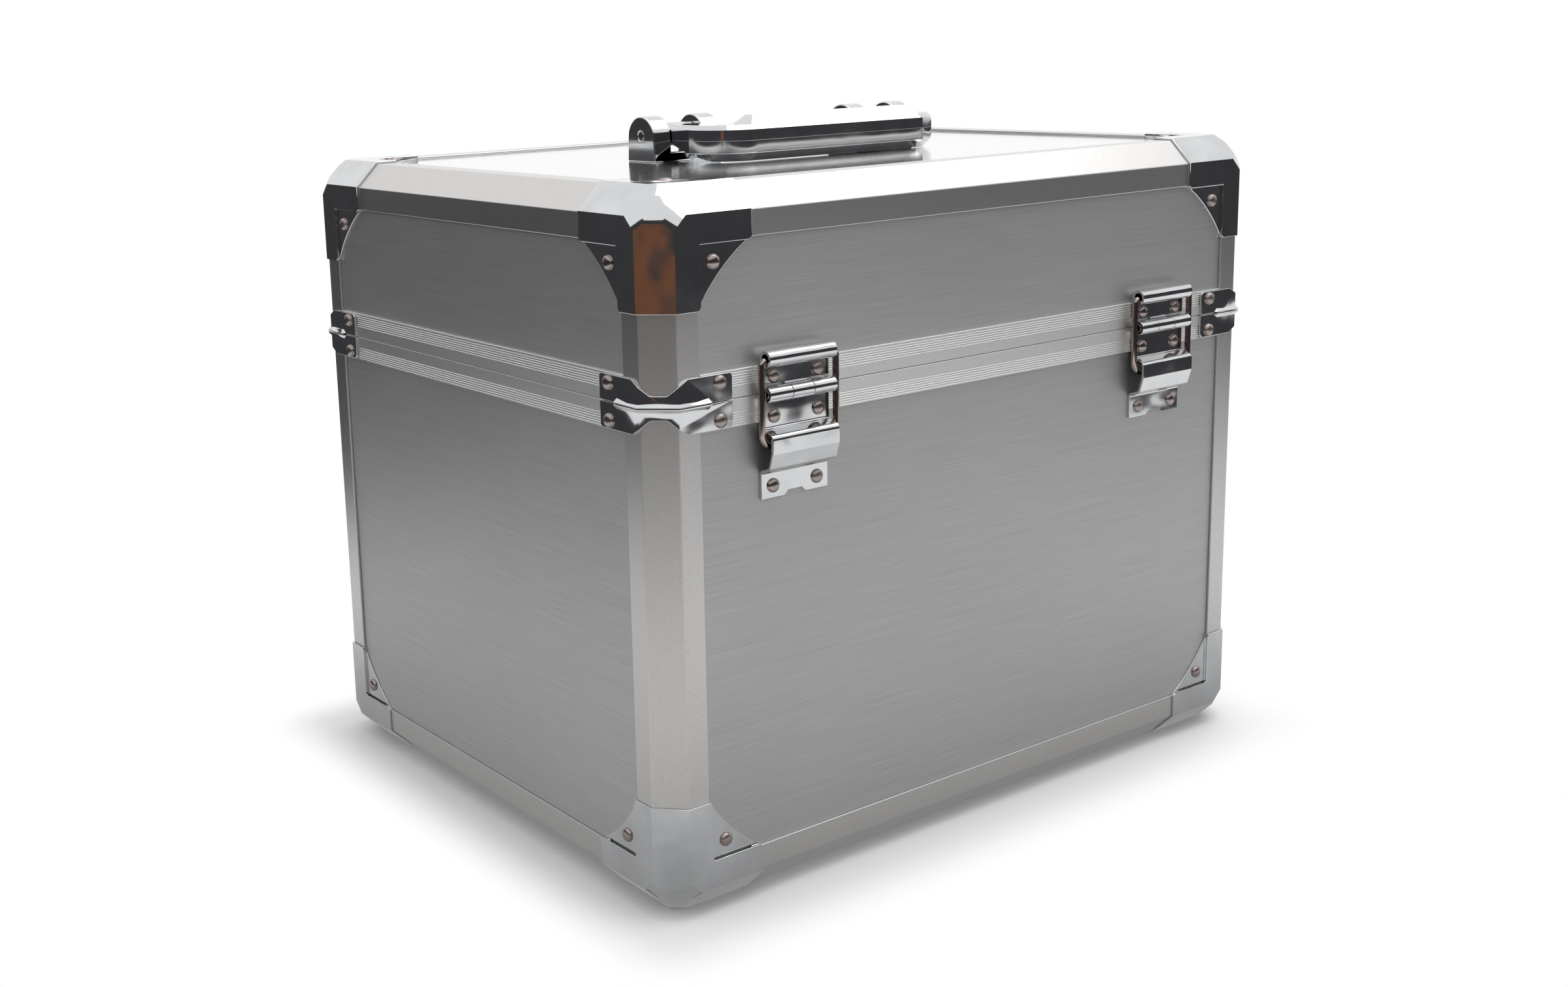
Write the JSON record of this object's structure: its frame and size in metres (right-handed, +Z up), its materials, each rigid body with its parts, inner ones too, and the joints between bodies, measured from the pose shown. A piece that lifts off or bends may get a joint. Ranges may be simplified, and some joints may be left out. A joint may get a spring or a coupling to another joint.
{
  "type": "radio transmitter case",
  "caption": "Aluminium-framed travel case with a hinged lid, ring-stayed hinges, draw latches, riveted corner caps, a folding top handle and foam pockets for upright radio transmitters.",
  "frame": {"origin": "middle of the case's footprint, on the surface it stands on", "axes": "+X along the case's length, +Y towards the hinges, +Z up; the latches are on the -Y face"},
  "size_m": [0.3452, 0.2843, 0.2985],
  "materials": {
    "panel": "brushed",
    "profile": "satin",
    "hardware": "nickel plated",
    "handle": "polished",
    "wire": "nickel plated",
    "rivet": "plated",
    "foam": "open-cell foam"
  },
  "bodies": {
    "base": {"base_bottom_profiles": "profile", "base_cap_back_left": "hardware", "base_cap_back_right": "hardware", "base_cap_front_left": "hardware", "base_cap_front_right": "hardware", "base_clip_back_left": "hardware", "base_clip_back_right": "hardware", "base_clip_front_left": "hardware", "base_clip_front_right": "hardware", "base_foam": "foam", "base_panel_back": "panel", "base_panel_bottom": "panel", "base_panel_front": "panel", "base_panel_left": "panel", "base_panel_right": "panel", "base_rivets": "rivet", "base_upright_profiles": "profile", "base_valance": "profile", "hinge_lower_leaf_left": "hardware", "hinge_lower_leaf_right": "hardware", "hinge_pins": "rivet", "latch_pins": "rivet", "latch_plate_left": "hardware", "latch_plate_right": "hardware"},
    "lid": {"handle_bracket_left": "handle", "handle_bracket_right": "handle", "handle_pins": "rivet", "hinge_upper_leaf_left": "hardware", "hinge_upper_leaf_right": "hardware", "latch_strike_left": "hardware", "latch_strike_right": "hardware", "lid_cap_back_left": "hardware", "lid_cap_back_right": "hardware", "lid_cap_front_left": "hardware", "lid_cap_front_right": "hardware", "lid_clip_back_left": "hardware", "lid_clip_back_right": "hardware", "lid_clip_front_left": "hardware", "lid_clip_front_right": "hardware", "lid_foam": "foam", "lid_panel_back": "panel", "lid_panel_front": "panel", "lid_panel_left": "panel", "lid_panel_right": "panel", "lid_panel_top": "panel", "lid_rivets": "rivet", "lid_top_profiles": "profile", "lid_upright_profiles": "profile", "lid_valance": "profile"},
    "handle": {"handle_lower_shell": "handle", "handle_upper_shell": "handle"},
    "ring_left": {"hinge_ring_left": "wire"},
    "ring_right": {"hinge_ring_right": "wire"},
    "bail_left": {"latch_bail_left": "wire"},
    "bail_right": {"latch_bail_right": "wire"},
    "lever_left": {"latch_lever_left": "hardware"},
    "lever_right": {"latch_lever_right": "hardware"}
  },
  "joints": [
    {"name": "lid_hinge", "type": "hinge", "parent": "base", "child": "lid", "pos_m": [0, 0.1379, 0.2009], "axis": [-1, 0, 0], "range_deg": [0, 80]},
    {"name": "handle_fold", "type": "hinge", "parent": "lid", "child": "handle", "pos_m": [0, 0, 0.29], "axis": [1, 0, 0], "range_deg": [0, 180]},
    {"name": "ring_swing_left", "type": "hinge", "parent": "lid", "child": "ring_left", "pos_m": [-0.1055, 0.1377, 0.2137], "axis": [1, 0, 0], "range_deg": [0, 55]},
    {"name": "lever_swing_left", "type": "hinge", "parent": "base", "child": "lever_left", "pos_m": [-0.1055, -0.1381, 0.1845], "axis": [-1, 0, 0], "range_deg": [0, 85]},
    {"name": "bail_swing_left", "type": "hinge", "parent": "lever_left", "child": "bail_left", "pos_m": [-0.1055, -0.1381, 0.1775], "axis": [-1, 0, 0], "range_deg": [-270, 20]},
    {"name": "ring_swing_right", "type": "hinge", "parent": "lid", "child": "ring_right", "pos_m": [0.1055, 0.1377, 0.2137], "axis": [1, 0, 0], "range_deg": [0, 55]},
    {"name": "lever_swing_right", "type": "hinge", "parent": "base", "child": "lever_right", "pos_m": [0.1055, -0.1381, 0.1845], "axis": [-1, 0, 0], "range_deg": [0, 85]},
    {"name": "bail_swing_right", "type": "hinge", "parent": "lever_right", "child": "bail_right", "pos_m": [0.1055, -0.1381, 0.1775], "axis": [-1, 0, 0], "range_deg": [-270, 20]}
  ],
  "couplings": [
    {"joint": "ring_swing_left", "follows": "lid_hinge", "ratio": 0.684},
    {"joint": "bail_swing_left", "follows": "lever_swing_left", "ratio": -2.12},
    {"joint": "ring_swing_right", "follows": "lid_hinge", "ratio": 0.684},
    {"joint": "bail_swing_right", "follows": "lever_swing_right", "ratio": -2.12}
  ]
}
